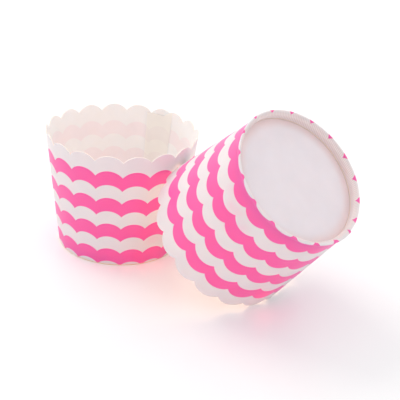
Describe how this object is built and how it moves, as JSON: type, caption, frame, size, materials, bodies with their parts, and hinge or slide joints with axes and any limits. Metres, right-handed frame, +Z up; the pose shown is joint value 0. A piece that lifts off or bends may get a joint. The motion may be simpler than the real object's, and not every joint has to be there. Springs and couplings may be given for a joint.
{
  "type": "pair of scalloped paper dessert cups",
  "caption": "Tapered paper baking cups with scalloped rims and folded hems, one standing and one tipped mouth down against its wall.",
  "frame": {"origin": "middle of the upright cup's base, on the table", "axes": "+Z up along the upright cup's axis, -Y towards the front, +X to the right where the tipped cup lies"},
  "size_m": [0.137, 0.119, 0.0836],
  "materials": {
    "printed_card": "smooth coated white card with printed hot pink scalloped bands",
    "white_card": "smooth white card"
  },
  "bodies": {
    "root": {"upright_sidewall": "printed_card", "upright_base": "white_card", "tipped_sidewall": "printed_card", "tipped_base": "white_card"}
  },
  "joints": []
}
